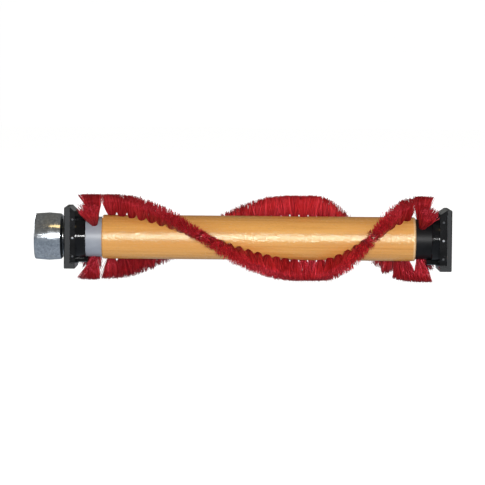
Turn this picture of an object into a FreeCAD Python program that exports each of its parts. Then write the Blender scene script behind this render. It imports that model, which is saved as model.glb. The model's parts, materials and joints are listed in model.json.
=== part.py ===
import FreeCAD, Part
import math
import os

import Sketcher

# Brush roll of an upright sweeper. It lies along X with the belt pulley at -X and the idle end at
# +X. -Y is its front and +Z is up. The origin is on the roller's axis, halfway along the roll.
# Two square end supports stand still in the sweeper, and the rest of the roll turns in them.

# ---------------------------------------------------------------- driving dimensions, millimetres

DIMENSIONS = {
    "overall_length": 330.0,
    # belt pulley
    "pulley_width": 23.4,
    "pulley_crown_radius": 18.9,
    "pulley_edge_radius": 18.15,
    "pulley_crown_at": 11.6,
    "pulley_taper_end": 20.9,
    "pulley_round": 1.3,
    "pulley_bevel": 1.5,
    "pulley_neck_radius": 14.3,
    "pulley_recess_radius": 14.4,
    "pulley_recess_depth": 10.5,
    "pulley_gap": 0.9,
    # square end supports
    "block_size": 48.4,
    "block_bevel": 0.6,
    "drive_block_thickness": 8.5,
    "idle_block_thickness": 9.3,
    "drive_plate_thickness": 4.5,
    "idle_plate_thickness": 3.6,
    "rail_recess": 3.2,
    "foot_thickness": 3.7,
    "detent_radius": 1.0,
    "detent_rise": 14.5,
    "hub_radius": 17.8,
    "hub_bevel": 0.5,
    "drive_hub_reach": 7.9,
    "idle_hub_reach": 5.8,
    "guard_inner_radius": 17.0,
    "guard_radius": 20.5,
    "guard_reach": 9.3,
    "collar_radius": 21.3,
    "collar_length": 1.8,
    # wooden roller and its end caps
    "roller_radius": 17.5,
    "roller_bevel": 0.8,
    "drive_stand_off": 20.7,
    "idle_stand_off": 18.5,
    "cap_radius": 15.9,
    "cap_round": 1.2,
    "cap_length": 14.7,
    "cap_boss_radius": 6.3,
    "spigot_radius": 8.0,
    "spigot_length": 9.5,
    # axle and what holds it together
    "axle_radius": 4.0,
    "axle_bevel": 0.5,
    "axle_inset": 1.4,
    "idle_axle_inset": 1.0,
    "washer_thickness": 1.6,
    "washer_radius": 8.0,
    "nut_thickness": 6.5,
    "nut_corner_radius": 7.5,
    "spacer_radius": 5.9,
    "clip_thickness": 0.8,
    "clip_groove_depth": 0.5,
    "clip_height": 2.4,
    # ball bearings, 8 x 22 x 7
    "bearing_radius": 11.0,
    "bearing_width": 7.0,
    "inner_land_radius": 5.95,
    "outer_land_radius": 9.1,
    "ball_circle_radius": 7.5,
    "ball_radius": 1.95,
    "ball_clearance": 0.11,
    "cage_inner_radius": 6.9,
    "cage_outer_radius": 8.1,
    "cage_width": 5.2,
    "shield_inner_radius": 6.3,
    "shield_thickness": 0.35,
    "drive_bearing_inset": 1.7,
    "idle_bearing_inset": 2.6,
    "ring_thickness": 1.1,
    "ring_depth": 0.85,
    "ring_inner_radius": 9.6,
    "drive_felt_thickness": 3.0,
    "idle_felt_thickness": 1.4,
    "felt_inner_radius": 6.5,
    "lip_radius": 8.5,
    "mouth_radius": 16.5,
    "mouth_play": 0.5,
    "dust_cap_thickness": 0.8,
    # bristle tufts
    "tuft_hole_radius": 2.75,
    "tuft_hole_floor": 8.5,
    "tuft_root_level": 10.5,
    "tuft_root_radius": 1.9,
    "tuft_tip_radius": 3.3,
    "tuft_length": 22.9,
    "anchor_length": 4.4,
    "anchor_thickness": 0.5,
    "anchor_height": 1.8,
    "first_tuft_at": 7.4,
    "first_tuft_pitch": 8.1,
    "tuft_pitch_step": 0.05,
    "row_a_apex_at": 167.5,
    "row_b_apex_at": 161.1,
    "apex_angle": 185.5,
    "drive_twist": 1.142,
    "idle_twist": 2.18,
    "drive_end_tuft_at": 6.3,
    "idle_end_tuft_at": 5.3,
    "idle_upright_tuft_at": 4.4,
    "drive_end_tuft_angle": 45.5,
    "idle_end_tuft_angle": 48.0,
    # clearances
    "fit": 0.05,
    "spigot_play": 0.2,
}
TUFTS_PER_ROW = 33
BALLS = 7
# Degrees that a tuft tips outwards along the roll.
FIRST_TUFT_LEAN = 5.0
END_TUFT_LEAN = 12.0
IDLE_SLANT_LEAN = 8.0
IDLE_UPRIGHT_LEAN = 6.0
# Angles from the top of a hub over which its guard runs.
GUARD_FORWARD = 38.0
GUARD_REARWARD = 197.0
BEARING_RING_GAP = 24.0
AXLE_CLIP_GAP = 60.0
# How much of a block's set-back band its sloping head takes up.
HEAD_SLOPE_SHARE = 0.85
# Turned features start this far inside the block, and bores run this far past it.
HUB_OVERLAP = 1.0
BORE_OVERRUN = 3.0
ROUND_STEPS = 3
TINY = 1e-6

doc = FreeCAD.newDocument("BrushRoll")


class Size:
    """A number and the sheet formula that it comes from."""

    def __init__(self, number, formula):
        self.number = number
        self.formula = formula

    def __add__(self, other):
        other = as_size(other)
        return Size(self.number + other.number, f"({self.formula} + {other.formula})")

    def __sub__(self, other):
        other = as_size(other)
        return Size(self.number - other.number, f"({self.formula} - {other.formula})")

    def __mul__(self, factor):
        return Size(self.number * factor, f"({self.formula} * {factor})")

    def __neg__(self):
        return self * -1.0


def as_size(value):
    return value if isinstance(value, Size) else Size(float(value), f"{float(value)}")


def make_sheet():
    """Writes the driving dimensions to a sheet and returns them as sizes by name."""
    sheet = doc.addObject("Spreadsheet::Sheet", "Dims")
    sizes = {}
    for row, (alias, value) in enumerate(DIMENSIONS.items(), start=1):
        sheet.set(f"A{row}", alias)
        sheet.set(f"B{row}", str(value))
        sheet.setAlias(f"B{row}", alias)
        sizes[alias] = Size(value, f"Dims.{alias}")
    doc.recompute()
    return sizes


D = make_sheet()
ZERO = as_size(0.0)

# Places along X.
PULLEY_X = D["overall_length"] * -0.5
DRIVE_FACE_X = PULLEY_X + D["pulley_width"] + D["pulley_gap"]
IDLE_FACE_X = D["overall_length"] * 0.5
ROLLER_START_X = DRIVE_FACE_X + D["drive_block_thickness"] + D["drive_stand_off"]
ROLLER_END_X = IDLE_FACE_X - D["idle_block_thickness"] - D["idle_stand_off"]
AXLE_BORE = D["axle_radius"] + D["fit"]


# ---------------------------------------------------------------- helpers

def bind(target, prop, size):
    target.setExpression(prop, size.formula)


def origin_plane(body, role):
    return next(f for f in body.Origin.OriginFeatures if f.Role == role)


def add_sketch(body, name, role, points):
    """Draws a closed outline of straight lines on one of the body's own planes."""
    sketch = body.newObject("Sketcher::SketchObject", name)
    sketch.AttachmentSupport = [(origin_plane(body, role), "")]
    sketch.MapMode = "FlatFace"
    corners = [(as_size(u), as_size(v)) for u, v in points]
    count = len(corners)
    spots = [FreeCAD.Vector(u.number, v.number, 0) for u, v in corners]
    for index in range(count):
        sketch.addGeometry(Part.LineSegment(spots[index], spots[(index + 1) % count]), False)
    for index in range(count):
        sketch.addConstraint(Sketcher.Constraint("Coincident", index, 2, (index + 1) % count, 1))
    for index, corner in enumerate(corners):
        for kind, size in zip(("DistanceX", "DistanceY"), corner):
            rule = Sketcher.Constraint(kind, -1, 1, index, 1, size.number)
            number = sketch.addConstraint(rule)
            bind(sketch, f"Constraints[{number}]", size)
    return sketch


def revolve(body, name, points, forward=360.0, rearward=0.0):
    """Turns an outline of (distance along X, radius) points about the body's X axis."""
    sketch = add_sketch(body, f"{name}_outline", "XZ_Plane", points)
    feature = body.newObject("PartDesign::Revolution", name)
    feature.Profile = sketch
    feature.ReferenceAxis = (sketch, ["H_Axis"])
    if rearward:
        feature.Type = "TwoAngles"
        feature.Angle2 = rearward
    feature.Angle = forward
    return feature


def groove(body, name, points):
    """Cuts a turned outline out of the body and makes sure that it removed something."""
    doc.recompute()
    before = body.Shape.Volume
    sketch = add_sketch(body, f"{name}_outline", "XZ_Plane", points)
    feature = body.newObject("PartDesign::Groove", name)
    feature.Profile = sketch
    feature.ReferenceAxis = (sketch, ["H_Axis"])
    feature.Angle = 360.0
    doc.recompute()
    if body.Shape.Volume >= before:
        raise ValueError(f"{name} cuts nothing")
    return feature


def new_body(label, x=ZERO, flipped=False):
    """A body whose own origin is at x on the axis. A flipped one has its own +X along -X."""
    body = doc.addObject("PartDesign::Body", label)
    body.Label = label
    turn = FreeCAD.Rotation(FreeCAD.Vector(0, 0, 1), 180 if flipped else 0)
    body.Placement = FreeCAD.Placement(FreeCAD.Vector(x.number, 0, 0), turn)
    bind(body, "Placement.Base.x", x)
    return body


def turned(label, points, x=ZERO, flipped=False):
    body = new_body(label, x, flipped)
    revolve(body, f"{label}_turning", points)
    return body


def ring_points(length, inner, outer):
    return [(0, inner), (length, inner), (length, outer), (0, outer)]


def ring(label, x, length, inner, outer, flipped=False):
    return turned(label, ring_points(length, inner, outer), x, flipped)


def rounded_edge(face_x, side_radius, size, inward):
    """Points that round an edge, from the face at face_x to the side.

    inward is 1.0 where the piece lies towards +X from the face, and -1.0 where towards -X."""
    points = []
    for step in range(ROUND_STEPS + 1):
        turn = math.radians(90.0 * step / ROUND_STEPS)
        x = face_x + size * (inward * (1 - math.cos(turn)))
        points.append((x, side_radius - size * (1 - math.sin(turn))))
    return points


def compound(label, members):
    group = doc.addObject("Part::Compound", label)
    group.Label = label
    group.Links = members
    return group


def cut(label, base, tool):
    result = doc.addObject("Part::Cut", label)
    result.Label = label
    result.Base = base
    result.Tool = tool
    return result


# ---------------------------------------------------------------- end supports

def support_bore(face_to_bearing, thickness, hub_reach, stand_off):
    """Outline of the stepped bore: lip, bearing seat, ring groove, felt seat and cap mouth.

    stand_off is the gap from the block to the wood, which sets how deep the end cap reaches."""
    seat = D["bearing_radius"] + D["fit"]
    ring_start = face_to_bearing + D["bearing_width"] + D["fit"]
    ring_end = ring_start + D["ring_thickness"] + D["fit"]
    ring_outer = seat + D["ring_depth"]
    rim = thickness + hub_reach
    cap_end = thickness + stand_off - D["cap_length"]
    mouth_floor = cap_end - D["mouth_play"]
    return [
        (-BORE_OVERRUN, 0),
        (rim + BORE_OVERRUN, 0),
        (rim + BORE_OVERRUN, D["mouth_radius"]),
        (mouth_floor, D["mouth_radius"]),
        (mouth_floor, seat),
        (ring_end, seat),
        (ring_end, ring_outer),
        (ring_start, ring_outer),
        (ring_start, seat),
        (face_to_bearing - D["fit"], seat),
        (face_to_bearing - D["fit"], D["lip_radius"]),
        (-BORE_OVERRUN, D["lip_radius"]),
    ]


def rail_outline():
    """The inner half of the block: set back at its sides and head, full width at its foot."""
    half = D["block_size"] * 0.5
    waist = half - D["rail_recess"]
    step = half - D["foot_thickness"]
    right = [(half, -half), (half, -step), (waist, -step), (waist, waist)]
    left = [(-u, v) for u, v in reversed(right)]
    return right + left


def square_outline():
    half = D["block_size"] * 0.5
    return [(-half, -half), (half, -half), (half, half), (-half, half)]


def pad(body, name, points, length):
    sketch = add_sketch(body, f"{name}_outline", "YZ_Plane", points)
    feature = body.newObject("PartDesign::Pad", name)
    feature.Profile = sketch
    bind(feature, "Length", length)
    return feature


def head_slope(body, name, plate, thickness):
    """A wedge from the plate's head down to the set-back head of the inner half."""
    half = D["block_size"] * 0.5
    waist = half - D["rail_recess"]
    slope_end = plate + (thickness - plate) * HEAD_SLOPE_SHARE
    sketch = add_sketch(body, f"{name}_outline", "XZ_Plane", [
        (plate - HUB_OVERLAP, waist - HUB_OVERLAP),
        (slope_end, waist - HUB_OVERLAP),
        (slope_end, waist),
        (plate, half),
        (plate - HUB_OVERLAP, half),
    ])
    feature = body.newObject("PartDesign::Pad", name)
    feature.Profile = sketch
    feature.Midplane = True
    bind(feature, "Length", waist * 2.0)


def detents(body, name, plate, thickness):
    """Three small round bumps down each set-back side, which hold the block in its pocket."""
    waist = D["block_size"] * 0.5 - D["rail_recess"]
    for side in (-1.0, 1.0):
        for level in (-1.0, 0.0, 1.0):
            bump = body.newObject("PartDesign::AdditiveSphere", f"{name}_bump")
            bind(bump, "Radius", D["detent_radius"])
            bump.AttachmentSupport = [(origin_plane(body, "XY_Plane"), "")]
            bump.MapMode = "FlatFace"
            bind(bump, "AttachmentOffset.Base.x", (plate + thickness) * 0.5)
            bind(bump, "AttachmentOffset.Base.y", waist * side)
            bind(bump, "AttachmentOffset.Base.z", D["detent_rise"] * level)


def bevel_outer_face(body, size):
    """Breaks the four edges of the outer face of a support block."""
    doc.recompute()
    base = body.Tip
    half = D["block_size"].number / 2
    names = []
    for number, edge in enumerate(base.Shape.Edges, start=1):
        box = edge.BoundBox
        on_face = abs(box.XMin) < TINY and abs(box.XMax) < TINY
        reach = max(abs(box.YMin), abs(box.YMax), abs(box.ZMin), abs(box.ZMax))
        if on_face and abs(reach - half) < TINY:
            names.append(f"Edge{number}")
    chamfer = body.newObject("PartDesign::Chamfer", f"{body.Name}_bevel")
    chamfer.Base = (base, names)
    bind(chamfer, "Size", size)


def support_block(label, x, thickness, plate, hub_reach, bearing_inset, stand_off, flipped):
    """A square support: outer plate, set-back inner half, hub and C-shaped hair guard."""
    body = new_body(label, x, flipped)
    pad(body, f"{label}_plate", square_outline(), plate)
    pad(body, f"{label}_rail", rail_outline(), thickness)
    head_slope(body, f"{label}_head", plate, thickness)
    detents(body, f"{label}_detent", plate, thickness)
    root = thickness - HUB_OVERLAP
    rim = thickness + hub_reach
    bevel = D["hub_bevel"]
    revolve(body, f"{label}_hub", [
        (root, 0),
        (rim, 0),
        (rim, D["hub_radius"] - bevel),
        (rim - bevel, D["hub_radius"]),
        (root, D["hub_radius"]),
    ])
    guard_end = thickness + D["guard_reach"]
    collar_end = thickness + D["collar_length"]
    sweep = (GUARD_REARWARD, GUARD_FORWARD) if flipped else (GUARD_FORWARD, GUARD_REARWARD)
    revolve(body, f"{label}_guard", [
        (root, D["guard_inner_radius"]),
        (guard_end, D["guard_inner_radius"]),
        (guard_end, D["guard_radius"] - bevel),
        (guard_end - bevel, D["guard_radius"]),
        (collar_end, D["guard_radius"]),
        (collar_end, D["collar_radius"]),
        (root, D["collar_radius"]),
    ], *sweep)
    groove(body, f"{label}_bore", support_bore(bearing_inset, thickness, hub_reach, stand_off))
    bevel_outer_face(body, D["block_bevel"])
    return body


# ---------------------------------------------------------------- ball bearings

def cut_ball_track(body, name):
    """Cuts the track for the balls all round a race."""
    doc.recompute()
    before = body.Shape.Volume
    sketch = body.newObject("Sketcher::SketchObject", f"{name}_circle")
    sketch.AttachmentSupport = [(origin_plane(body, "XZ_Plane"), "")]
    sketch.MapMode = "FlatFace"
    centre = (D["bearing_width"] * 0.5, D["ball_circle_radius"])
    radius = D["ball_radius"] + D["ball_clearance"]
    spot = FreeCAD.Vector(centre[0].number, centre[1].number, 0)
    sketch.addGeometry(Part.Circle(spot, FreeCAD.Vector(0, 0, 1), radius.number), False)
    rules = [("DistanceX", centre[0]), ("DistanceY", centre[1])]
    for kind, size in rules:
        rule = Sketcher.Constraint(kind, -1, 1, 0, 3, size.number)
        number = sketch.addConstraint(rule)
        bind(sketch, f"Constraints[{number}]", size)
    number = sketch.addConstraint(Sketcher.Constraint("Radius", 0, radius.number))
    bind(sketch, f"Constraints[{number}]", radius)
    feature = body.newObject("PartDesign::Groove", name)
    feature.Profile = sketch
    feature.ReferenceAxis = (sketch, ["H_Axis"])
    feature.Angle = 360.0
    doc.recompute()
    if body.Shape.Volume >= before:
        raise ValueError(f"{name} cuts nothing")


def bearing_race(label, x, inner, outer):
    body = ring(label, x, D["bearing_width"], inner, outer)
    cut_ball_track(body, f"{label}_track")
    return body


def bearing_shields(side, x):
    far = x + D["bearing_width"] - D["shield_thickness"]
    rings = []
    for name, start in (("outer", x), ("inner", far)):
        label = f"{side}_{name}_shield"
        size = D["shield_thickness"]
        rings.append(ring(label, start, size, D["shield_inner_radius"], D["outer_land_radius"]))
    return compound(f"{side}_bearing_shields", rings)


def bearing_cage(side, x):
    """A ring with a round pocket for each ball."""
    label = f"{side}_bearing_cage"
    margin = (D["bearing_width"] - D["cage_width"]) * 0.5
    inner, outer = D["cage_inner_radius"], D["cage_outer_radius"]
    body = ring(label, x + margin, D["cage_width"], inner, outer)
    doc.recompute()
    before = body.Shape.Volume
    pocket = body.newObject("PartDesign::SubtractiveSphere", f"{label}_pocket")
    bind(pocket, "Radius", D["ball_radius"] + D["ball_clearance"])
    pocket.AttachmentSupport = [(origin_plane(body, "XY_Plane"), "")]
    pocket.MapMode = "FlatFace"
    bind(pocket, "AttachmentOffset.Base.x", D["cage_width"] * 0.5)
    bind(pocket, "AttachmentOffset.Base.z", D["ball_circle_radius"])
    doc.recompute()
    pattern = body.newObject("PartDesign::PolarPattern", f"{label}_pockets")
    pattern.Originals = [pocket]
    pattern.Axis = (origin_plane(body, "X_Axis"), [""])
    pattern.Angle = 360.0
    pattern.Occurrences = BALLS
    body.Tip = pattern
    doc.recompute()
    if body.Shape.Volume >= before:
        raise ValueError(f"{label} has no pockets")
    return body


def bearing_balls(side, x):
    balls = []
    for index in range(BALLS):
        turn = 2 * math.pi * index / BALLS
        ball = doc.addObject("Part::Sphere", f"{side}_ball_{index + 1}")
        bind(ball, "Radius", D["ball_radius"])
        bind(ball, "Placement.Base.x", x + D["bearing_width"] * 0.5)
        bind(ball, "Placement.Base.y", D["ball_circle_radius"] * -math.sin(turn))
        bind(ball, "Placement.Base.z", D["ball_circle_radius"] * math.cos(turn))
        balls.append(ball)
    return compound(f"{side}_bearing_balls", balls)


def bearing(side, x):
    """The parts of one shielded ball bearing whose lower X face is at x."""
    return [
        bearing_race(f"{side}_bearing_inner_race", x, AXLE_BORE, D["inner_land_radius"]),
        bearing_race(
            f"{side}_bearing_outer_race", x, D["outer_land_radius"], D["bearing_radius"]
        ),
        bearing_shields(side, x),
        bearing_cage(side, x),
        bearing_balls(side, x),
    ]


def split_ring(label, x, inner, outer, thickness, gap_angle):
    """A spring ring with a gap, which opens or closes to go into its groove."""
    body = new_body(label, x)
    half = (360.0 - gap_angle) / 2
    revolve(body, f"{label}_turning", ring_points(thickness, inner, outer), half, half)
    return body


# ---------------------------------------------------------------- tufts and their holes

def tuft_direction(angle, lean):
    """Unit vector of a tuft: angle runs from the top to the front, lean tips it towards +X."""
    turn, tip = math.radians(angle), math.radians(lean)
    radial = FreeCAD.Vector(0, -math.sin(turn), math.cos(turn))
    return radial * math.cos(tip) + FreeCAD.Vector(math.sin(tip), 0, 0)


def row_tufts(apex_at, offset):
    """(x, angle, lean) of each tuft of a row, along two helices that meet at the apex."""
    apex_x = (ROLLER_START_X + apex_at).number
    found = []
    for index in range(TUFTS_PER_ROW):
        closer = D["tuft_pitch_step"].number * index * (index - 1) / 2
        along = D["first_tuft_at"].number + index * D["first_tuft_pitch"].number - closer
        x = ROLLER_START_X.number + along
        twist = D["drive_twist"].number if x < apex_x else D["idle_twist"].number
        angle = D["apex_angle"].number - twist * abs(x - apex_x)
        lean = -FIRST_TUFT_LEAN if index == 0 else 0.0
        found.append((x, angle + offset, lean))
    return found


def end_tufts(x, angle, lean):
    return [(x.number, angle.number + offset, lean) for offset in (0.0, 180.0)]


def tuft_frame(tuft, level):
    """Placement whose Z runs up a tuft, starting at the given distance from the axis."""
    x, angle, lean = tuft
    direction = tuft_direction(angle, lean)
    radial = tuft_direction(angle, 0.0)
    mouth = D["roller_radius"].number
    # A leaning tuft passes through its station where its hole meets the wood.
    start = FreeCAD.Vector(x, 0, 0) + radial * mouth - direction * (mouth - level.number)
    across = FreeCAD.Rotation(FreeCAD.Vector(1, 0, 0), angle)
    tip = FreeCAD.Rotation(FreeCAD.Vector(0, 1, 0), lean)
    return FreeCAD.Placement(start, across.multiply(tip))


def tuft_solids(label, tufts):
    cones = []
    for number, tuft in enumerate(tufts, start=1):
        cone = doc.addObject("Part::Cone", f"{label}_{number}")
        bind(cone, "Radius1", D["tuft_root_radius"])
        bind(cone, "Radius2", D["tuft_tip_radius"])
        bind(cone, "Height", D["tuft_length"])
        cone.Placement = tuft_frame(tuft, D["tuft_root_level"])
        cones.append(cone)
    return compound(label, cones)


def tuft_holes(label, tufts):
    drills = []
    for number, tuft in enumerate(tufts, start=1):
        drill = doc.addObject("Part::Cylinder", f"{label}_{number}")
        bind(drill, "Radius", D["tuft_hole_radius"])
        bind(drill, "Height", D["roller_radius"])
        drill.Placement = tuft_frame(tuft, D["tuft_hole_floor"])
        drills.append(drill)
    return compound(label, drills)


def tuft_anchors(label, tufts):
    """The small flat wire that pins each tuft to the floor of its hole."""
    middle = FreeCAD.Vector(D["anchor_length"].number / -2, D["anchor_thickness"].number / -2, 0)
    anchors = []
    for number, tuft in enumerate(tufts, start=1):
        anchor = doc.addObject("Part::Box", f"{label}_{number}")
        bind(anchor, "Length", D["anchor_length"])
        bind(anchor, "Width", D["anchor_thickness"])
        bind(anchor, "Height", D["anchor_height"])
        frame = tuft_frame(tuft, D["tuft_hole_floor"])
        anchor.Placement = frame.multiply(FreeCAD.Placement(middle, FreeCAD.Rotation()))
        anchors.append(anchor)
    return compound(label, anchors)


# ---------------------------------------------------------------- roller

def wood_outline():
    length = ROLLER_END_X - ROLLER_START_X
    socket = D["spigot_length"] + D["spigot_play"]
    socket_radius = D["spigot_radius"] + D["fit"]
    bevel = D["roller_bevel"]
    radius = D["roller_radius"]
    return [
        (0, socket_radius),
        (socket, socket_radius),
        (socket, AXLE_BORE),
        (length - socket, AXLE_BORE),
        (length - socket, socket_radius),
        (length, socket_radius),
        (length, radius - bevel),
        (length - bevel, radius),
        (bevel, radius),
        (0, radius - bevel),
    ]


def cap_outline(boss_length):
    """A cap seen from the wood outwards: spigot, body with rounded edges, and bearing boss."""
    radius, length = D["cap_radius"], D["cap_length"]
    outline = [
        (-D["spigot_length"], AXLE_BORE),
        (length + boss_length, AXLE_BORE),
        (length + boss_length, D["cap_boss_radius"]),
        (length, D["cap_boss_radius"]),
    ]
    outline += rounded_edge(length, radius, D["cap_round"], -1.0)
    outline += [
        (0, radius),
        (0, D["spigot_radius"]),
        (-D["spigot_length"], D["spigot_radius"]),
    ]
    return outline


def end_cap(label, wood_x, boss_length, tufts, flipped):
    blank = turned(f"{label}_blank", cap_outline(boss_length), wood_x, flipped)
    return cut(label, blank, tuft_holes(f"{label}_holes", tufts))


def axle():
    """One straight steel rod with broken ends and a groove for the idle end's clip."""
    start = PULLEY_X + D["axle_inset"]
    length = IDLE_FACE_X - D["idle_axle_inset"] - start
    groove_start = IDLE_FACE_X - D["idle_bearing_inset"] - start + D["fit"]
    groove_end = groove_start + D["clip_thickness"] + D["fit"]
    radius, bevel = D["axle_radius"], D["axle_bevel"]
    waist = radius - D["clip_groove_depth"]
    return turned("axle_shaft", [
        (0, 0),
        (length, 0),
        (length, radius - bevel),
        (length - bevel, radius),
        (groove_end, radius),
        (groove_end, waist),
        (groove_start, waist),
        (groove_start, radius),
        (bevel, radius),
        (0, radius - bevel),
    ], start)


def pulley():
    """A turned steel pulley whose two tapers meet in a crown that keeps the flat belt central."""
    width, edge = D["pulley_width"], D["pulley_edge_radius"]
    taper_end = D["pulley_taper_end"]
    outline = [
        (D["pulley_recess_depth"], AXLE_BORE),
        (D["pulley_recess_depth"], D["pulley_recess_radius"]),
        (0, D["pulley_recess_radius"]),
    ]
    outline += rounded_edge(ZERO, edge, D["pulley_round"], 1.0)
    outline += [
        (D["pulley_crown_at"], D["pulley_crown_radius"]),
        (taper_end, edge),
        (taper_end + D["pulley_bevel"], edge - D["pulley_bevel"]),
        (taper_end + D["pulley_bevel"], D["pulley_neck_radius"]),
        (width, D["pulley_neck_radius"]),
        (width, AXLE_BORE),
    ]
    return turned("belt_pulley", outline, PULLEY_X)


def pulley_nut():
    web_x = PULLEY_X + D["pulley_recess_depth"]
    start = web_x - D["washer_thickness"] - D["nut_thickness"]
    along_x = FreeCAD.Rotation(FreeCAD.Vector(0, 1, 0), 90)
    blank = doc.addObject("Part::Prism", "pulley_nut_blank")
    blank.Polygon = 6
    bind(blank, "Circumradius", D["nut_corner_radius"])
    bore = doc.addObject("Part::Cylinder", "pulley_nut_bore")
    bind(bore, "Radius", AXLE_BORE)
    for piece in (blank, bore):
        bind(piece, "Height", D["nut_thickness"])
        piece.Placement = FreeCAD.Placement(FreeCAD.Vector(start.number, 0, 0), along_x)
        bind(piece, "Placement.Base.x", start)
    return cut("pulley_nut", blank, bore)


# ---------------------------------------------------------------- assembly

drive_bearing_x = DRIVE_FACE_X + D["drive_bearing_inset"]
drive_bearing_end = drive_bearing_x + D["bearing_width"]
idle_bearing_end = IDLE_FACE_X - D["idle_bearing_inset"]
idle_bearing_x = idle_bearing_end - D["bearing_width"]
drive_cap_end = ROLLER_START_X - D["cap_length"]
idle_cap_end = ROLLER_END_X + D["cap_length"]
ring_outer_radius = D["bearing_radius"] + D["ring_depth"]
# A spring ring sits in the middle of a groove that is one fit wider than it is.
ring_stand_off = D["fit"] * 1.5
felt_stand_off = D["fit"] * 4.0

row_a = row_tufts(D["row_a_apex_at"], 0.0)
row_b = row_tufts(D["row_b_apex_at"], 180.0)
drive_tuft_x = ROLLER_START_X - D["drive_end_tuft_at"]
drive_tufts = end_tufts(drive_tuft_x, D["drive_end_tuft_angle"], -END_TUFT_LEAN)
drive_tufts += end_tufts(drive_tuft_x, ZERO, -END_TUFT_LEAN)
idle_tufts = end_tufts(
    ROLLER_END_X + D["idle_end_tuft_at"], D["idle_end_tuft_angle"], IDLE_SLANT_LEAN
)
idle_tufts += end_tufts(ROLLER_END_X + D["idle_upright_tuft_at"], ZERO, IDLE_UPRIGHT_LEAN)

nodes = [
    support_block(
        "drive_support_block", DRIVE_FACE_X, D["drive_block_thickness"],
        D["drive_plate_thickness"], D["drive_hub_reach"], D["drive_bearing_inset"],
        D["drive_stand_off"], False,
    ),
    support_block(
        "idle_support_block", IDLE_FACE_X, D["idle_block_thickness"],
        D["idle_plate_thickness"], D["idle_hub_reach"], D["idle_bearing_inset"],
        D["idle_stand_off"], True,
    ),
]
nodes += bearing("drive", drive_bearing_x)
nodes += bearing("idle", idle_bearing_x)

drive_ring_x = drive_bearing_end + ring_stand_off
idle_ring_x = idle_bearing_x - D["ring_thickness"] - ring_stand_off
drive_felt_x = drive_ring_x + D["ring_thickness"] + felt_stand_off
idle_felt_x = idle_ring_x - D["idle_felt_thickness"] - felt_stand_off
for label, start in (("drive_bearing_clip", drive_ring_x), ("idle_bearing_clip", idle_ring_x)):
    nodes.append(split_ring(
        label,
        start,
        D["ring_inner_radius"],
        ring_outer_radius,
        D["ring_thickness"],
        BEARING_RING_GAP,
    ))
for label, start, thickness in (
    ("drive_felt_seal", drive_felt_x, D["drive_felt_thickness"]),
    ("idle_felt_seal", idle_felt_x, D["idle_felt_thickness"]),
):
    nodes.append(ring(label, start, thickness, D["felt_inner_radius"], D["bearing_radius"]))

nodes.append(turned("idle_dust_cap", [
    (0, 0),
    (D["dust_cap_thickness"], 0),
    (D["dust_cap_thickness"], D["lip_radius"] - D["fit"]),
    (0, D["lip_radius"] - D["fit"]),
], IDLE_FACE_X - D["dust_cap_thickness"]))

wood = turned("wooden_roller_blank", wood_outline(), ROLLER_START_X)
nodes.append(cut("wooden_roller", wood, tuft_holes("wooden_roller_holes", row_a + row_b)))
nodes.append(end_cap(
    "drive_end_cap", ROLLER_START_X, drive_cap_end - drive_bearing_end, drive_tufts, True
))
nodes.append(end_cap(
    "idle_end_cap", ROLLER_END_X, idle_bearing_x - idle_cap_end, idle_tufts, False
))
nodes.append(axle())
nodes.append(pulley())
nodes.append(pulley_nut())
nodes.append(ring(
    "pulley_washer",
    PULLEY_X + D["pulley_recess_depth"] - D["washer_thickness"],
    D["washer_thickness"],
    AXLE_BORE,
    D["washer_radius"],
))
pulley_end = PULLEY_X + D["pulley_width"]
nodes.append(ring(
    "pulley_spacer", pulley_end, drive_bearing_x - pulley_end, AXLE_BORE, D["spacer_radius"]
))
clip_waist = D["axle_radius"] - D["clip_groove_depth"]
nodes.append(split_ring(
    "axle_clip",
    idle_bearing_end + ring_stand_off,
    clip_waist + D["fit"],
    clip_waist + D["clip_height"],
    D["clip_thickness"],
    AXLE_CLIP_GAP,
))
nodes.append(tuft_solids("bristle_row_a", row_a))
nodes.append(tuft_solids("bristle_row_b", row_b))
nodes.append(tuft_solids("drive_end_tufts", drive_tufts))
nodes.append(tuft_solids("idle_end_tufts", idle_tufts))
nodes.append(tuft_anchors("tuft_anchors", row_a + row_b + drive_tufts + idle_tufts))

doc.recompute()

for item in doc.Objects:
    if {"Invalid", "Error"} & set(item.State):
        raise ValueError(f"{item.Label} failed to build: {item.State}")
for node in nodes:
    if node.Shape.isNull() or not node.Shape.isValid() or not node.Shape.Solids:
        raise ValueError(f"{node.Label} is not a valid solid")

os.makedirs("parts", exist_ok=True)
for node in nodes:
    node.Shape.exportStep(f"parts/{node.Label}.step")
    box = node.Shape.BoundBox
    print(
        f"{node.Label:28s} {len(node.Shape.Solids):3d} solids {node.Shape.Volume:10.1f} mm3"
        f"  X {box.XMin:8.2f} to {box.XMax:8.2f}  R {max(box.YMax, box.ZMax):6.2f}"
    )
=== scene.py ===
import json
import math

import bmesh
import bpy
import numpy as np
from mathutils import Matrix, Vector


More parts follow.
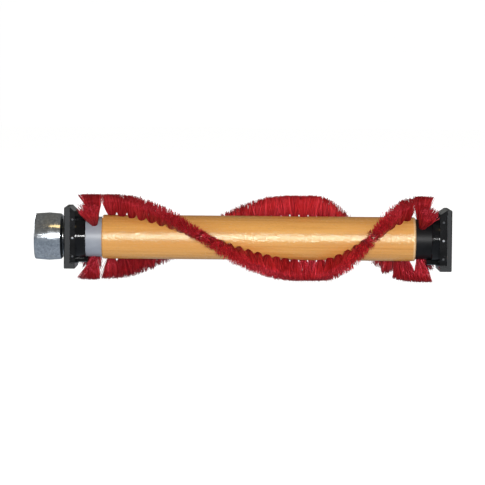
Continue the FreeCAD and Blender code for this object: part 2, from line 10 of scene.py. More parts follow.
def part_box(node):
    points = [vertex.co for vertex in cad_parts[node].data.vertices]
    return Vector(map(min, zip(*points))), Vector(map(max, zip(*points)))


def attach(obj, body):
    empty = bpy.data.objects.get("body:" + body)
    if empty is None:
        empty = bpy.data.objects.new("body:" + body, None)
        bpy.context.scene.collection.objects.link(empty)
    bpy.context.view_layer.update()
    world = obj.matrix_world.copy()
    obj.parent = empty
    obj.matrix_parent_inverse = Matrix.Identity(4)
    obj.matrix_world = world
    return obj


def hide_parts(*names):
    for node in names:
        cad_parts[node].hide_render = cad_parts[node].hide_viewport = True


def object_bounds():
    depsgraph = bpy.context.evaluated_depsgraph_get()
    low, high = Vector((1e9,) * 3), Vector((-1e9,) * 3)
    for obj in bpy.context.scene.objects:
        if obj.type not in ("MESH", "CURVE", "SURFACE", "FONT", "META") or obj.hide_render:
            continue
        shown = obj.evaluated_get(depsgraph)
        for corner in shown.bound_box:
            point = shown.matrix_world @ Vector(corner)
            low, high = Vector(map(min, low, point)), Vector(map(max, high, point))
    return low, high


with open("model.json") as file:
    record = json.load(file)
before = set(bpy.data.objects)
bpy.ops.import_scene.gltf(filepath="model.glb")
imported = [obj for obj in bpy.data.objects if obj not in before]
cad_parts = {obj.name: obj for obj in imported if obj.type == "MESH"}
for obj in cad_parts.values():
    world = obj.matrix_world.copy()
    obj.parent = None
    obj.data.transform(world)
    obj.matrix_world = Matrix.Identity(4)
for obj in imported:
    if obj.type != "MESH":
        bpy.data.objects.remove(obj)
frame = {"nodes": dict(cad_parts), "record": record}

# Looks for a brush roll: red nylon filaments in place of the plain tufts, lacquered beech, zinc
# plate, moulded plastic and the small parts inside. Everything is in metres, along X.

MM = 0.001
SEED = 31
CAD_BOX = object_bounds()
scene = bpy.context.scene
nodes = frame["nodes"]

WOOD_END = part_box("wooden_roller")[1].x
WOOD_RADIUS = 17.5 * MM
CAP_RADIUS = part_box("drive_end_cap")[1].z
TIP_RADIUS = 33.55 * MM
# The square supports' outer faces and thicknesses, and their outer plates' thicknesses.
DRIVE_FACE_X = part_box("drive_support_block")[0].x
IDLE_FACE_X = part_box("idle_support_block")[1].x
DRIVE_BLOCK = 8.5 * MM
IDLE_BLOCK = 9.3 * MM
DRIVE_PLATE = 4.5 * MM
IDLE_PLATE = 3.6 * MM
# How far the rest of a block is set back from its plate's sides.
RAIL_RECESS = 3.2 * MM
FLOOR_Z = CAD_BOX[0][2] - 1.2 * MM
TINY = 1e-6


# ---------------------------------------------------------------- shader helpers

class Shader:
    """A material's node tree with short ways to add and join nodes."""

    def __init__(self, name):
        self.material = bpy.data.materials.new(name)
        self.material.use_nodes = True
        self.tree = self.material.node_tree
        self.surface = self.tree.nodes["Principled BSDF"]
        self.place = self.tree.nodes.new("ShaderNodeTexCoord").outputs["Object"]

    def set(self, **values):
        """Sets plain values on the surface's own sockets: base_color sets Base Color."""
        for name, value in values.items():
            socket = name.replace("_", " ").title().replace("Ior", "IOR")
            self.surface.inputs[socket].default_value = value

    def add(self, kind, inputs=None, **settings):
        node = self.tree.nodes.new(kind)
        for name, value in settings.items():
            setattr(node, name, value)
        for name, value in (inputs or {}).items():
            socket = node.inputs[name]
            if isinstance(value, bpy.types.NodeSocket):
                self.tree.links.new(value, socket)
            else:
                socket.default_value = value
        return node

    def link(self, output, name):
        self.tree.links.new(output, self.surface.inputs[name])

    def stretched(self, x=1.0, y=1.0, z=1.0):
        """Object coordinates scaled along each axis."""
        return self.add(
            "ShaderNodeMapping", {"Vector": self.place, "Scale": (x, y, z)}
        ).outputs["Vector"]

    def noise(self, vector, scale, detail=3.0, rough=0.5, distortion=0.0):
        node = self.add("ShaderNodeTexNoise", {
            "Vector": vector, "Scale": scale, "Detail": detail, "Roughness": rough,
            "Distortion": distortion,
        })
        return node.outputs["Fac"]

    def ramp(self, value, stops):
        """Colours or grey levels by position: stops are (position, colour or level)."""
        node = self.add("ShaderNodeValToRGB", {"Fac": value})
        points = node.color_ramp.elements
        while len(points) < len(stops):
            points.new(0.5)
        for point, (position, colour) in zip(points, stops):
            level = isinstance(colour, float)
            point.position = position
            point.color = (colour, colour, colour, 1.0) if level else (*colour, 1.0)
        return node.outputs["Color"]

    def mix(self, amount, first, second, blend="MIX"):
        node = self.add("ShaderNodeMix", data_type="RGBA", blend_type=blend)
        for index, value in ((0, amount), (6, first), (7, second)):
            socket = node.inputs[index]
            if isinstance(value, bpy.types.NodeSocket):
                self.tree.links.new(value, socket)
            elif index:
                socket.default_value = (*value, 1.0)
            else:
                socket.default_value = value
        return node.outputs[2]

    def maths(self, operation, first, second=0.0):
        node = self.add("ShaderNodeMath", operation=operation)
        for socket, value in zip(node.inputs, (first, second)):
            if isinstance(value, bpy.types.NodeSocket):
                self.tree.links.new(value, socket)
            else:
                socket.default_value = value
        return node.outputs[0]

    def span(self, value, low, high):
        """Takes a 0 to 1 value to the range from low to high."""
        node = self.add("ShaderNodeMapRange", {"Value": value, "To Min": low, "To Max": high})
        return node.outputs["Result"]

    def bump(self, height, strength, depth):
        node = self.add("ShaderNodeBump", {
            "Height": height, "Strength": strength, "Distance": depth,
        })
        self.link(node.outputs["Normal"], "Normal")

    def axis_parts(self):
        """X, Y and Z of the place, and the turn about the X axis."""
        split = self.add("ShaderNodeSeparateXYZ", {"Vector": self.place})
        x, y, z = (split.outputs[name] for name in "XYZ")
        return x, y, z, self.maths("ARCTAN2", y, z)


# ---------------------------------------------------------------- materials

# Where the bristles' painted sheen is brightest, and how far from there it starts and stops fading.
SHEEN_MIDDLE_X = 42.0 * MM
SHEEN_REACH = 45.0 * MM
SHEEN_FADE_REACH = 95.0 * MM


def beech():
    """Lacquered beech dowel: fine lengthwise grain and ray flecks that break up the shine."""
    shader = Shader("lacquered_beech")
    grain = shader.noise(shader.stretched(9.0, 420.0, 420.0), 1.4, 5.0, 0.62, 0.15)
    broad = shader.noise(shader.stretched(4.0, 55.0, 55.0), 1.2, 2.0, 0.5, 0.4)
    flecks = shader.noise(shader.stretched(260.0, 1500.0, 1500.0), 1.0, 2.0, 0.5)
    tone = shader.ramp(grain, [
        (0.30, (0.690, 0.305, 0.072)), (0.50, (0.800, 0.380, 0.096)), (0.70, (0.860, 0.440, 0.128)),
    ])
    warm = shader.ramp(broad, [(0.32, (0.86, 0.78, 0.70)), (0.62, (1.0, 1.0, 1.0))])
    base = shader.mix(0.5, tone, warm, "MULTIPLY")
    dash = shader.ramp(flecks, [(0.60, 0.0), (0.70, 1.0)])
    base = shader.mix(shader.maths("MULTIPLY", dash, 0.28), base, (0.44, 0.19, 0.055))
    # The lacquer stops short of the idle end's rounded edge and leaves it pale.
    x = shader.axis_parts()[0]
    bare = shader.add("ShaderNodeMapRange", {
        "Value": x, "From Min": WOOD_END - 2.1 * MM, "From Max": WOOD_END - 1.5 * MM,
    }).outputs["Result"]
    base = shader.mix(shader.maths("MULTIPLY", bare, 0.6), base, (0.88, 0.62, 0.36))
    shader.link(base, "Base Color")
    shader.link(shader.span(flecks, 0.14, 0.36), "Roughness")
    speckle = shader.noise(shader.stretched(560.0, 680.0, 680.0), 1.0, 2.0, 0.6)
    height = shader.maths("ADD", speckle, shader.maths("MULTIPLY", grain, 0.06))
    shader.bump(height, 1.0, 0.00036)
    shader.set(specular_ior_level=0.75, specular_tint=(0.72, 1.0, 0.86, 1.0))
    return shader.material


def red_nylon():
    """Nylon filament: each has its own tone, painted shade towards the root and shiny along its
    length.
    """
    shader = Shader("red_nylon")
    tone = shader.add("ShaderNodeAttribute", attribute_name="tone").outputs["Fac"]
    height = shader.add("ShaderNodeAttribute", attribute_name="along").outputs["Fac"]
    base = shader.ramp(tone, [
        (0.0, (0.27, 0.006, 0.007)), (0.5, (0.62, 0.020, 0.021)), (1.0, (0.97, 0.062, 0.078)),
    ])
    # Painted sheen: the middle of the roll is painted brighter and the outer thirds darker, in
    # place of the glints the lamps raise near the middle.
    from_middle = shader.maths("ABSOLUTE", shader.maths(
        "SUBTRACT", shader.axis_parts()[0], SHEEN_MIDDLE_X
    ))
    painted_sheen = shader.add("ShaderNodeMapRange", {
        "Value": from_middle, "From Min": SHEEN_REACH, "From Max": SHEEN_FADE_REACH,
        "To Min": 1.0, "To Max": 0.68,
    }).outputs["Result"]
    base = shader.mix(1.0, base, painted_sheen, "MULTIPLY")
    # Painted shade: filaments darken towards the root, where the tuft packs tight against the wood.
    # The very tips are darkened a little too.
    shade = shader.ramp(height, [(0.0, 0.30), (0.28, 0.75), (0.55, 1.0), (0.92, 1.0), (1.0, 0.5)])
    shader.link(shader.mix(1.0, base, shade, "MULTIPLY"), "Base Color")
    shader.link(shader.span(tone, 0.46, 0.28), "Roughness")
    shader.set(ior=1.7, specular_ior_level=1.0, specular_tint=(1.0, 0.10, 0.17, 1.0))
    return shader.material


def black_plastic(name, polish, shine):
    """Moulded black plastic with a faint flow pattern, fine pits and a little dust.

    polish is the (smoothest, roughest) roughness and shine the specular level. Faces whose
    "textured" attribute is 1 have the coarser, greyer finish of an etched mould, and those
    marked for a glint by the second attribute are painted pale grey: a painted highlight."""
    shader = Shader(name)
    etched = shader.add("ShaderNodeAttribute", attribute_name="textured").outputs["Fac"]
    flow = shader.noise(shader.stretched(60.0, 90.0, 90.0), 1.0, 3.0, 0.55, 0.8)
    pits = shader.noise(shader.stretched(2600.0, 2600.0, 2600.0), 1.0, 2.0, 0.6)
    dust = shader.noise(shader.stretched(420.0, 420.0, 420.0), 1.0, 4.0, 0.7)
    specks = shader.ramp(dust, [(0.62, 0.0), (0.80, 1.0)])
    base = shader.ramp(flow, [(0.3, (0.004, 0.004, 0.0045)), (0.7, (0.008, 0.008, 0.009))])
    base = shader.mix(shader.maths("MULTIPLY", specks, 0.16), base, (0.07, 0.068, 0.066))
    grain = shader.ramp(pits, [(0.35, (0.007, 0.008, 0.009)), (0.65, (0.024, 0.026, 0.029))])
    glint_amount = shader.add("ShaderNodeAttribute", attribute_name="painted_glint").outputs["Fac"]
    # Painted highlight: marked faces are painted pale grey in place of the lamp's glint on them.
    base = shader.mix(glint_amount, base, (0.50, 0.52, 0.55))
    shader.link(shader.mix(etched, base, grain), "Base Color")
    rough = shader.maths("ADD", shader.span(flow, *polish),
                         shader.maths("MULTIPLY", specks, 0.2))
    rough = shader.maths("ADD", rough, shader.maths("MULTIPLY", etched, 0.42))
    shader.link(rough, "Roughness")
    height = shader.maths("ADD", pits, shader.maths("MULTIPLY", flow, 3.0))
    shader.bump(height, 0.10, 0.00003)
    shader.set(specular_ior_level=shine)
    return shader.material


def grey_plastic():
    """Satin grey moulded cap with a soft flow pattern and fine scuffs round it."""
    shader = Shader("grey_plastic")
    flow = shader.noise(shader.stretched(70.0, 70.0, 70.0), 1.0, 3.0, 0.5, 1.0)
    scuffs = shader.noise(shader.stretched(3200.0, 120.0, 120.0), 1.0, 3.0, 0.6)
    base = shader.ramp(flow, [(0.3, (0.285, 0.305, 0.35)), (0.7, (0.345, 0.365, 0.41))])
    marks = shader.ramp(scuffs, [(0.58, 0.0), (0.75, 1.0)])
    base = shader.mix(shader.maths("MULTIPLY", marks, 0.22), base, (0.18, 0.19, 0.21))
    shader.link(base, "Base Color")
    shader.link(shader.span(scuffs, 0.32, 0.5), "Roughness")
    shader.bump(shader.maths("ADD", scuffs, flow), 0.1, 0.00005)
    return shader.material


def zinc_plate():
    """Zinc plate over turned steel: lathe lines round the pulley, mottling and a warm tint."""
    shader = Shader("zinc_plate")
    x, _, _, turn = shader.axis_parts()
    round_it = shader.add("ShaderNodeCombineXYZ", {
        "X": shader.maths("MULTIPLY", x, 3600.0), "Y": shader.maths("MULTIPLY", turn, 1.6),
    }).outputs["Vector"]
    lines = shader.noise(round_it, 1.0, 3.0, 0.7)
    mottle = shader.noise(shader.stretched(420.0, 420.0, 420.0), 1.0, 4.0, 0.66, 0.6)
    cloud = shader.noise(shader.stretched(75.0, 75.0, 75.0), 1.0, 2.0, 0.5, 0.4)
    base = shader.ramp(mottle, [
        (0.32, (0.42, 0.45, 0.49)), (0.50, (0.58, 0.61, 0.65)), (0.68, (0.74, 0.77, 0.80)),
    ])
    warm = shader.ramp(cloud, [(0.48, 0.0), (0.70, 1.0)])
    base = shader.mix(shader.maths("MULTIPLY", warm, 0.30), base, (0.62, 0.56, 0.42))
    shader.link(base, "Base Color")
    rough = shader.maths("ADD", shader.span(mottle, 0.08, 0.24),
                         shader.maths("MULTIPLY", lines, 0.06))
    shader.link(rough, "Roughness")
    height = shader.maths("ADD", lines, shader.maths("MULTIPLY", mottle, 2.0))
    shader.bump(height, 0.28, 0.00004)
    shader.set(metallic=1.0)
    return shader.material


def ground_steel(name, light, dark, roughness, lines_per_m=9000.0):
    """Steel with fine marks round the axis, slightly uneven in tone and polish."""
    shader = Shader(name)
    x, y, z, turn = shader.axis_parts()
    radius = shader.maths("SQRT", shader.maths(
        "ADD", shader.maths("MULTIPLY", y, y), shader.maths("MULTIPLY", z, z)
    ))
    round_it = shader.add("ShaderNodeCombineXYZ", {
        "X": shader.maths("MULTIPLY", x, lines_per_m),
        "Y": shader.maths("MULTIPLY", radius, lines_per_m),
        "Z": turn,
    }).outputs["Vector"]
    lines = shader.noise(round_it, 1.0, 2.0, 0.6)
    patches = shader.noise(shader.stretched(260.0, 260.0, 260.0), 1.0, 3.0, 0.6)
    shader.link(shader.mix(patches, dark, light), "Base Color")
    rough = shader.maths("ADD", shader.span(patches, roughness - 0.06, roughness + 0.06),
                         shader.maths("MULTIPLY", lines, 0.08))
    shader.link(rough, "Roughness")
    shader.bump(lines, 0.15, 0.00003)
    shader.set(metallic=1.0)
    return shader.material


def felt():
    """Pressed grey wool felt with loose fibre fuzz."""
    shader = Shader("felt")
    fibres = shader.noise(shader.stretched(2200.0, 2200.0, 2200.0), 1.0, 5.0, 0.75, 1.5)
    base = shader.ramp(fibres, [(0.3, (0.16, 0.15, 0.14)), (0.7, (0.42, 0.40, 0.37))])
    shader.link(base, "Base Color")
    shader.bump(fibres, 0.6, 0.0002)
    shader.set(roughness=0.95, sheen_weight=0.4)
    return shader.material


def nylon_cage():
    """Cream moulded bearing cage."""
    shader = Shader("nylon_cage")
    flow = shader.noise(shader.stretched(300.0, 300.0, 300.0), 1.0, 3.0, 0.55, 1.0)
    base = shader.ramp(flow, [(0.3, (0.62, 0.54, 0.38)), (0.7, (0.74, 0.67, 0.52))])
    shader.link(base, "Base Color")
    shader.link(shader.span(flow, 0.35, 0.5), "Roughness")
    shader.bump(flow, 0.1, 0.00005)
    return shader.material


def glowing_white(name, glow, albedo):
    """A matt white that gives off some light of its own, so that shadows on it stay faint."""
    shader = Shader(name)
    mottle = shader.noise(shader.stretched(6.0, 6.0, 6.0), 1.0, 2.0, 0.5)
    low, high = (albedo - 0.01,) * 3, (albedo + 0.01,) * 3
    shader.link(shader.ramp(mottle, [(0.3, low), (0.7, high)]), "Base Color")
    shader.set(roughness=0.9, specular_ior_level=0.0, emission_color=(1.0, 1.0, 1.0, 1.0))
    shader.set(emission_strength=glow)
    return shader.material


MATERIALS = {
    "black_plastic": black_plastic("black_plastic", (0.07, 0.13), 0.26),
    "satin_black": black_plastic("satin_black", (0.36, 0.48), 0.20),
    "grey_plastic": grey_plastic(),
    "cage_plastic": nylon_cage(),
    "bearing_steel": ground_steel("bearing_steel", (0.80, 0.81, 0.83), (0.62, 0.63, 0.66), 0.16),
    "shield_steel": ground_steel("shield_steel", (0.64, 0.65, 0.66), (0.48, 0.49, 0.51), 0.30),
    "spring_steel": ground_steel("spring_steel", (0.17, 0.17, 0.18), (0.08, 0.08, 0.09), 0.34),
    "felt": felt(),
    "beech_wood": beech(),
    "axle_steel": ground_steel("axle_steel", (0.58, 0.59, 0.61), (0.40, 0.41, 0.43), 0.28),
    "zinc_plated_steel": zinc_plate(),
    "plated_hardware": ground_steel(
        "plated_hardware", (0.72, 0.71, 0.66), (0.52, 0.52, 0.50), 0.26
    ),
    "red_bristle": red_nylon(),
    "anchor_wire": ground_steel("anchor_wire", (0.70, 0.60, 0.40), (0.50, 0.42, 0.26), 0.30),
}
# Nodes whose finish differs from their slot's usual one.
FINISH_OF = {"idle_end_cap": "satin_black"}
SLOT_OF = {part["node"]: part["material_slot"] for part in frame["record"]["subparts"]}
BODY_OF = {
    node: body
    for body, members in frame["record"]["behaviour"]["bodies"].items() for node in members
}


def paint(piece, node):
    piece.data.materials.clear()
    piece.data.materials.append(MATERIALS[FINISH_OF.get(node, SLOT_OF[node])])


# ---------------------------------------------------------------- pieces

# How far each turned or moulded node's edges are rounded.
EDGES = {
    "belt_pulley": 0.30 * MM,
    "pulley_nut": 0.35 * MM,
    "pulley_washer": 0.20 * MM,
    "idle_dust_cap": 0.15 * MM,
}
BLOCK_EDGE = 0.30 * MM
EDGE_SEGMENTS = 3
# Levels near the corners of a block at which its flat sides are divided.
BLOCK_CUTS = (-23.4 * MM, -19.6 * MM, 20.2 * MM, 23.4 * MM)
# Edges that turn by more than the first angle are rounded, and those that still turn by more
# than the second are shaded sharp. Faces that turn by less than the third are joined.
ROUNDED_ANGLE = math.radians(35)
SHARP_ANGLE = math.radians(50)
COPLANAR_ANGLE = math.radians(0.5)
# Edges shorter than this many times the rounding aren't rounded.
SHORT_EDGE = 2.2
# Points of a CAD mesh closer together than this are one point.
SAME_POINT = 2e-7
# How square to an axis a face has to be to be shaded flat, and to be one of a block's sides.
FLAT_NORMAL = 0.999
SQUARE_NORMAL = 0.99
# How much of the painted glint the smaller bumps on a block get; the middle one gets it fully.
FAINT_GLINT = 0.2


def new_piece(name, mesh, node):
    """Puts a mesh in the scene in place of a CAD node, riding on that node's body."""
    piece = bpy.data.objects.new(name, mesh)
    scene.collection.objects.link(piece)
    paint(piece, node)
    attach(piece, BODY_OF[node])
    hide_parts(node)
    return piece


def apply_modifiers(piece):
    depsgraph = bpy.context.evaluated_depsgraph_get()
    mesh = bpy.data.meshes.new_from_object(piece.evaluated_get(depsgraph), depsgraph=depsgraph)
    piece.modifiers.clear()
    piece.data = mesh


def divide(work, low, high, cuts):
    """Divides the flat-sided part of a mesh between two Xs at planes (axis, distance)."""
    for axis, distance in cuts:
        parts = [
            part for part in work.verts[:] + work.edges[:] + work.faces[:]
            if all(low - TINY < vert.co.x < high + TINY for vert in getattr(part, "verts", [part]))
        ]
        place, normal = Vector((0, 0, 0)), Vector((0, 0, 0))
        place[axis], normal[axis] = distance, 1.0
        bmesh.ops.bisect_plane(work, geom=parts, plane_co=place, plane_no=normal)


def softened(node, width, faces=(), cuts=(), is_flat=None):
    """A copy of a CAD node whose edges are rounded, as moulded and turned parts' edges are.

    Edges shorter than the rounding, such as those of small bumps, are left as they are. faces
    and cuts are the two Xs and the planes that divide() takes: long roundings shade evenly
    once they are divided near their corners. is_flat picks faces that are shaded flat."""
    mesh = nodes[node].data.copy()
    for stale in ("custom_normal", "sharp_edge", "sharp_face"):
        if stale in mesh.attributes:
            mesh.attributes.remove(mesh.attributes[stale])
    work = bmesh.new()
    work.from_mesh(mesh)
    bmesh.ops.remove_doubles(work, verts=work.verts, dist=SAME_POINT)
    bmesh.ops.dissolve_limit(
        work, angle_limit=COPLANAR_ANGLE, verts=work.verts, edges=work.edges
    )
    if cuts:
        divide(work, *faces, cuts)
    share = work.edges.layers.float.new("bevel_weight_edge")
    for edge in work.edges:
        sharp = len(edge.link_faces) == 2 and edge.calc_face_angle() > ROUNDED_ANGLE
        edge[share] = 1.0 if sharp and edge.calc_length() > SHORT_EDGE * width else 0.0
    work.to_mesh(mesh)
    work.free()
    piece = new_piece(f"{node}_finished", mesh, node)
    bevel = piece.modifiers.new("edges", "BEVEL")
    bevel.width = width
    bevel.segments = EDGE_SEGMENTS
    bevel.limit_method = "WEIGHT"
    bevel.use_clamp_overlap = True
    apply_modifiers(piece)
    piece.data.shade_smooth()
    piece.data.set_sharp_from_angle(angle=SHARP_ANGLE)
    if is_flat is None:
        # Large faces keep their own normals, so shading turns only within the narrow rounding.
        weighted = piece.modifiers.new("normals", "WEIGHTED_NORMAL")
        weighted.keep_sharp = True
        weighted.weight = 100
        apply_modifiers(piece)
        return piece
    mesh = piece.data
    for face in mesh.polygons:
        if is_flat(face):
            for loop in face.loop_indices:
                mesh.edges[mesh.loops[loop].edge_index].use_edge_sharp = True
    return piece


def finish_block(node, outer_x, seam, inner_x):
    """A support block with rounded edges, an etched outer plate and detent bumps painted pale as
    glints.

    outer_x is the plate's outer face, seam its inner one and inner_x the block's inner face."""
    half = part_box(node)[1].y
    waist = half - RAIL_RECESS
    outside = 0.05 * MM
    foot_top = -waist + 1.5 * MM
    bump_height = 0.25 * MM
    middle_bump = 2.0 * MM
    outer_bumps = 0.7 * half
    faces = sorted((outer_x, inner_x))
    cuts = [(0, seam)]
    for axis in (1, 2):
        cuts += [(axis, distance) for distance in BLOCK_CUTS]

    def is_flat(face):
        on_outline = max(abs(face.center.y), abs(face.center.z)) > waist - MM
        square_on = max(abs(face.normal.y), abs(face.normal.z)) > FLAT_NORMAL
        return abs(face.normal.x) > FLAT_NORMAL or square_on and on_outline

    mesh = softened(node, BLOCK_EDGE, faces, cuts, is_flat).data
    etched = np.zeros(len(mesh.polygons), np.float32)
    painted_glint = np.zeros(len(mesh.polygons), np.float32)
    for face in mesh.polygons:
        place = face.center
        y, z = abs(place.y), abs(place.z)
        square = max(abs(value) for value in face.normal) > SQUARE_NORMAL
        on_plate = min(seam, outer_x) < place.x < max(seam, outer_x)
        on_plate_side = on_plate and max(y, z) > half - outside
        on_foot = place.z < foot_top and faces[0] < place.x < faces[1]
        if on_foot or square and (abs(place.x - outer_x) < outside or on_plate_side):
            etched[face.index] = 1.0
        on_rail = faces[0] + TINY < place.x < faces[1] - TINY and not on_plate
        # Painted glints on the rail's detent bumps: full on the middle bump, fainter on the others.
        if on_rail and z < outer_bumps and y > waist + bump_height:
            painted_glint[face.index] = 1.0 if z < middle_bump else FAINT_GLINT
    mesh.attributes.new("textured", "FLOAT", "FACE").data.foreach_set("value", etched)
    mesh.attributes.new("painted_glint", "FLOAT", "FACE").data.foreach_set("value", painted_glint)


# ---------------------------------------------------------------- bristles

FILAMENT_RADIUS = 0.20 * MM
# Shares of a filament's length at which its tube has a ring of points.
RINGS = np.array([0.0, 0.16, 0.36, 0.66, 1.0])
SIDES = 3
BUNDLE_RADIUS = 2.85 * MM
START_DEPTH = 2.6 * MM
# Points of a CAD tuft closer together than this are one point.
TUFT_POINT = 2e-6
# Filaments cling together in clumps, which lean, differ in length and differ in tone.
CLUMPS = 16
CLUMP_LEAN = 0.14
CLUMP_LENGTH = 0.35 * MM
FILAMENT_LEAN = 0.05
FILAMENT_LENGTH = 0.25 * MM
FILAMENT_BEND = 0.35 * MM
# Below 1, a tuft opens faster near its root than near its tips.
OPENING = 0.85
TONE_SPREAD = 0.2
CLUMP_TONE = 0.8
STRAY_SHARE = 0.03
STRAY_LEAN = 0.30
STRAY_LENGTH = 0.5 * MM
SHORTEST = -1.4 * MM
LONGEST = 0.9 * MM
# Filaments per tuft and how far the tips fan out, along the roll's length and round it.
ROW_TUFT = {"count": 220, "fan": (8.0 * MM, 5.2 * MM)}
END_TUFT = {"count": 380, "fan": (7.6 * MM, 6.0 * MM)}
# Tufts that use has bent: the share of the fan they keep and how far they are pushed over.
IDLE_SLANTED = (0.85, 2.4 * MM)
IDLE_UPRIGHT = (0.90, 1.0 * MM)
# A tuft leaning further than this, as sideways over upwards, is a slanted one.
SLANT = 0.5
WORN_TUFTS = {
    "bristle_row_b": {30: (0.42, -0.6 * MM), 31: (0.62, 4.0 * MM), 32: (0.72, 4.6 * MM)},
}
# How far along the roll filaments may reach: to the hair guards' ends near the hubs, and to
# the blocks' inner faces beyond the clear radius.
GUARD_RADIUS = 22.0 * MM
CLEAR_RADIUS = 31.0 * MM
DRIVE_GUARD_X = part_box("drive_support_block")[1].x + 0.3 * MM
IDLE_GUARD_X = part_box("idle_support_block")[0].x - 0.3 * MM
DRIVE_BLOCK_X = DRIVE_FACE_X + DRIVE_BLOCK + 0.4 * MM
IDLE_BLOCK_X = IDLE_FACE_X - IDLE_BLOCK - 0.4 * MM
CROWDING = 1.6 * MM


def tuft_axes(node):
    """(root, tip) of each plain tuft of a CAD node, from the two ends of each solid."""
    work = bmesh.new()
    work.from_mesh(nodes[node].data)
    bmesh.ops.remove_doubles(work, verts=work.verts, dist=TUFT_POINT)
    work.verts.ensure_lookup_table()
    waiting = set(work.verts)
    axes = []
    for first in work.verts:
        island, frontier = [], [first]
        while frontier:
            vert = frontier.pop()
            if vert in waiting:
                waiting.discard(vert)
                island.append(vert)
                frontier += [edge.other_vert(vert) for edge in vert.link_edges]
        if not island:
            continue
        points = np.array([tuple(v.co) for v in island])
        radii = np.hypot(points[:, 1], points[:, 2])
        middle = (radii.min() + radii.max()) / 2
        axes.append((points[radii < middle].mean(0), points[radii > middle].mean(0)))
    work.free()
    return sorted(axes, key=lambda pair: pair[0][0])


def unit(vector):
    return vector / np.linalg.norm(vector)


def kept_clear(lines):
    """Crowds filaments up short of the hair guards near the hubs, and of the blocks beyond."""
    radii = np.hypot(lines[..., 1], lines[..., 2])
    free = np.clip((radii - GUARD_RADIUS) / (CLEAR_RADIUS - GUARD_RADIUS), 0, 1)
    low = DRIVE_GUARD_X + (DRIVE_BLOCK_X - DRIVE_GUARD_X) * free + CROWDING
    high = IDLE_GUARD_X + (IDLE_BLOCK_X - IDLE_GUARD_X) * free - CROWDING
    x = lines[..., 0]
    past_low = np.maximum(low - x, 0)
    past_high = np.maximum(x - high, 0)
    x = np.where(past_low > 0, low - CROWDING * (1 - np.exp(-past_low / CROWDING)), x)
    x = np.where(past_high > 0, high + CROWDING * (1 - np.exp(-past_high / CROWDING)), x)
    lines[..., 0] = x


def tuft_filaments(rng, root, tip, along_row, surface, count, fan, shape=(1.0, 0.0)):
    """Centre lines of one tuft's filaments: (filament, ring, xyz), and each filament's tone.

    along_row is the row's direction at this tuft. fan is how far the tips spread along the row
    and across it. surface is the radius of the wood or cap that the tuft stands in, and shape
    is the share of the fan's length that the tuft takes and how far it is pushed over."""
    up = unit(tip - root)
    across = unit(np.cross(up, along_row))
    along = unit(np.cross(across, up))
    turn = rng.uniform(0, 2 * math.pi, count)
    reach = np.sqrt(rng.uniform(0, 1, count))
    u, v = reach * np.cos(turn), reach * np.sin(turn)
    # A round bundle at the root opens into a squarer fan that meets its neighbours.
    squarer = (np.cos(turn) ** 4 + np.sin(turn) ** 4) ** -0.25
    clump = rng.integers(0, CLUMPS, count)
    lean = rng.normal(0, CLUMP_LEAN, (CLUMPS, 2))[clump]
    longer = rng.normal(0, CLUMP_LENGTH, CLUMPS)[clump]
    stray = rng.random(count) < STRAY_SHARE
    wild = rng.normal(0, FILAMENT_LEAN, (count, 2))
    wild += stray[:, None] * rng.normal(0, STRAY_LEAN, (count, 2))
    tip_u = (u * squarer + lean[:, 0] + wild[:, 0]) * fan[0] * shape[0] + shape[1]
    tip_v = (v * squarer + lean[:, 1] + wild[:, 1]) * fan[1]
    start = surface - START_DEPTH
    ragged = rng.normal(0, FILAMENT_LENGTH, count) + longer
    ragged += stray * rng.normal(0, STRAY_LENGTH, count)
    end = TIP_RADIUS + np.clip(ragged, SHORTEST, LONGEST)
    base = root + up * (start - np.hypot(root[1], root[2]))
    lines = np.zeros((count, len(RINGS), 3))
    bend = rng.normal(0, FILAMENT_BEND, (count, 2))
    for ring, share in enumerate(RINGS):
        height = share * (end - start)
        free = np.clip((height - START_DEPTH) / (end - surface), 0, 1)
        opened = free ** OPENING
        bow = np.sin(math.pi * free)
        side_u = u * BUNDLE_RADIUS * (1 - opened) + tip_u * opened + bend[:, 0] * bow
        side_v = v * BUNDLE_RADIUS * (1 - opened) + tip_v * opened + bend[:, 1] * bow
        lines[:, ring] = (
            base + up * height[:, None] + along * side_u[:, None] + across * side_v[:, None]
        )
    # The trimmed face is round about the axis, so spread tips are cut back to their radius.
    radial = np.hypot(lines[:, -1, 1], lines[:, -1, 2])
    excess = (radial - end)[:, None]
    outward = lines[:, -1] - lines[:, -2]
    outward /= np.linalg.norm(outward, axis=1)[:, None]
    lines[:, -1] -= outward * excess
    kept_clear(lines)
    tones = rng.normal(0.5, TONE_SPREAD, count) + rng.normal(0, TONE_SPREAD, CLUMPS)[clump]
    tones = np.clip(tones + lean[:, 0] * CLUMP_TONE, 0, 1)
    return lines, tones


